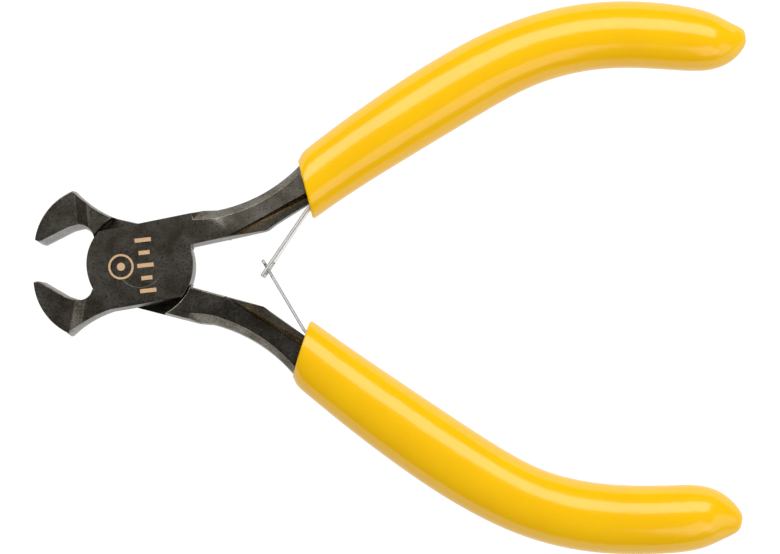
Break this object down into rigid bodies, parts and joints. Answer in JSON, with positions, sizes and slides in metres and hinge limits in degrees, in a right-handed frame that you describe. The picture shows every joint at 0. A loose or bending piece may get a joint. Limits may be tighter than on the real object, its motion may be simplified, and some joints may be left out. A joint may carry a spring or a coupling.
{
  "type": "flush cutter",
  "caption": "Small end-cutting flush cutter with a riveted lap joint, crossed leaf springs and dipped plastic handle grips.",
  "frame": {"origin": "on the pivot axis, in the plane of the rear joint face", "axes": "+X along the tool from the jaws towards the handles, +Y towards the upper handle, +Z out of the front joint face, with the tool lying flat and held open by its springs"},
  "size_m": [0.1092, 0.0872, 0.011],
  "materials": {
    "tool_steel": "blackened forged steel, ground bright at the cutting edges",
    "rivet_steel": "blackened steel, ground flush with the joint faces",
    "grip_vinyl": "glossy yellow dipped vinyl",
    "spring_steel": "bright spring strip"
  },
  "bodies": {
    "front_half": {"front_half": "tool_steel", "pivot_rivet": "rivet_steel", "upper_grip": "grip_vinyl", "upper_spring_foot": "spring_steel", "upper_spring_rivet": "rivet_steel"},
    "rear_half": {"rear_half": "tool_steel", "lower_grip": "grip_vinyl", "lower_spring_foot": "spring_steel", "lower_spring_rivet": "rivet_steel"},
    "upper_spring_arm": {"upper_spring_leaf": "spring_steel"},
    "lower_spring_arm": {"lower_spring_leaf": "spring_steel"}
  },
  "joints": [
    {"name": "pivot", "type": "hinge", "parent": "front_half", "child": "rear_half", "pos_m": [0, 0, 0.004], "axis": [0, 0, 1], "range_deg": [-3, 22.3], "stiffness_Nm_per_rad": 0.9},
    {"name": "upper_spring_flex", "type": "hinge", "parent": "front_half", "child": "upper_spring_arm", "pos_m": [0.02458, 0.00809, 0.004], "axis": [0, 0, 1], "range_deg": [-27, 4]},
    {"name": "lower_spring_flex", "type": "hinge", "parent": "rear_half", "child": "lower_spring_arm", "pos_m": [0.02458, -0.00809, 0.004], "axis": [0, 0, 1], "range_deg": [-4, 27]}
  ],
  "couplings": [
    {"joint": "upper_spring_flex", "follows": "pivot", "ratio": -1.15},
    {"joint": "lower_spring_flex", "follows": "pivot", "ratio": 1.15}
  ]
}
